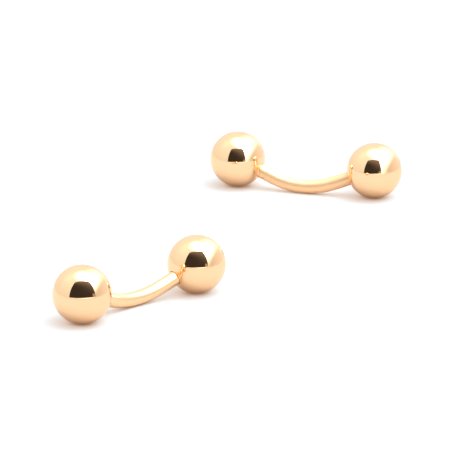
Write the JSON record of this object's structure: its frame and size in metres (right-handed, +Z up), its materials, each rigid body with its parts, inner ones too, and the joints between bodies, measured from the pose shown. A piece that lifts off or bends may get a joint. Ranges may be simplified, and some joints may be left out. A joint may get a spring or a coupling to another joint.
{
  "type": "pair of cufflinks",
  "caption": "Pair of ball cufflinks, each a bent round post with a hollow ball soldered on one end and a hollow ball that screws off the other.",
  "frame": {"origin": "middle of the pair's box, on the surface that the balls rest on", "axes": "+Z up; +Y from the front cufflink to the back one, along the pair's longest extent; +X to the right"},
  "size_m": [0.0485, 0.0746, 0.008],
  "materials": {
    "ball_gold": "mirror-polished pale yellow gold",
    "post_gold": "polished pale yellow gold",
    "bush_brass": "turned, unpolished"
  },
  "bodies": {
    "posts_and_fixed_balls": {"front_curved_post": "post_gold", "front_fixed_ball_outer_shell": "ball_gold", "front_fixed_ball_inner_shell": "ball_gold", "front_fixed_ball_bush": "bush_brass", "back_curved_post": "post_gold", "back_fixed_ball_outer_shell": "ball_gold", "back_fixed_ball_inner_shell": "ball_gold", "back_fixed_ball_bush": "bush_brass"},
    "front_screw_carriage": {"front_screw_ball_inner_shell": "ball_gold"},
    "front_screw_ball": {"front_screw_ball_outer_shell": "ball_gold", "front_screw_ball_threaded_bush": "bush_brass"},
    "back_screw_carriage": {"back_screw_ball_inner_shell": "ball_gold"},
    "back_screw_ball": {"back_screw_ball_outer_shell": "ball_gold", "back_screw_ball_threaded_bush": "bush_brass"}
  },
  "joints": [
    {"name": "front_ball_travel", "type": "slide", "parent": "posts_and_fixed_balls", "child": "front_screw_carriage", "axis": [0.7638, 0.5421, 0.3504], "range_m": [0, 0.00245]},
    {"name": "front_ball_turn", "type": "hinge", "parent": "front_screw_carriage", "child": "front_screw_ball", "pos_m": [-0.00509, -0.01939, 0.004], "axis": [0.7638, 0.5421, 0.3504], "range_deg": [0, 2520]},
    {"name": "back_ball_travel", "type": "slide", "parent": "posts_and_fixed_balls", "child": "back_screw_carriage", "axis": [0.9216, -0.1669, 0.3504], "range_m": [0, 0.00245]},
    {"name": "back_ball_turn", "type": "hinge", "parent": "back_screw_carriage", "child": "back_screw_ball", "pos_m": [0.02025, 0.02714, 0.004], "axis": [0.9216, -0.1669, 0.3504], "range_deg": [0, 2520]}
  ],
  "couplings": [
    {"joint": "front_ball_turn", "follows": "front_ball_travel", "rad_per_m": 17952},
    {"joint": "back_ball_turn", "follows": "back_ball_travel", "rad_per_m": 17952}
  ]
}
